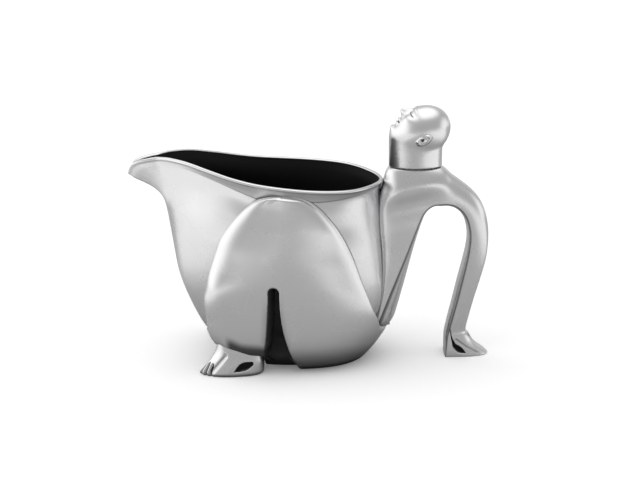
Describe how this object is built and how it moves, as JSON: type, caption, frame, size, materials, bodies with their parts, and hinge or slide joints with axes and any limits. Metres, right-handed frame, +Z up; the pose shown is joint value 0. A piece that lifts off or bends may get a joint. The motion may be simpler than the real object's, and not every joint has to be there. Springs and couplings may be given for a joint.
{
  "type": "milk jug",
  "caption": "Cast milk jug shaped as a crouching figure, with a beaked bowl lined in black, an arched arm for a handle and flat feet to stand on.",
  "frame": {"origin": "centre of the footprint, on the table", "axes": "+X from the beak to the handle, +Y to the figure's right side, +Z up"},
  "size_m": [0.18, 0.077, 0.1285],
  "materials": {
    "bowl_metal": "satin polished",
    "body_metal": "satin polished",
    "head_metal": "satin polished",
    "lining": "satin black enamel",
    "pins": "ground"
  },
  "bodies": {
    "root": {"bowl": "bowl_metal", "lining": "lining", "leg_left": "body_metal", "leg_right": "body_metal", "foot_left": "body_metal", "foot_right": "body_metal", "torso": "body_metal", "arm": "body_metal", "hand": "body_metal", "head": "head_metal", "neck_stud": "pins", "shoulder_dowel": "pins", "wrist_dowel": "pins", "ankle_dowels": "pins", "seat_pins": "pins", "waist_pins": "pins"}
  },
  "joints": []
}
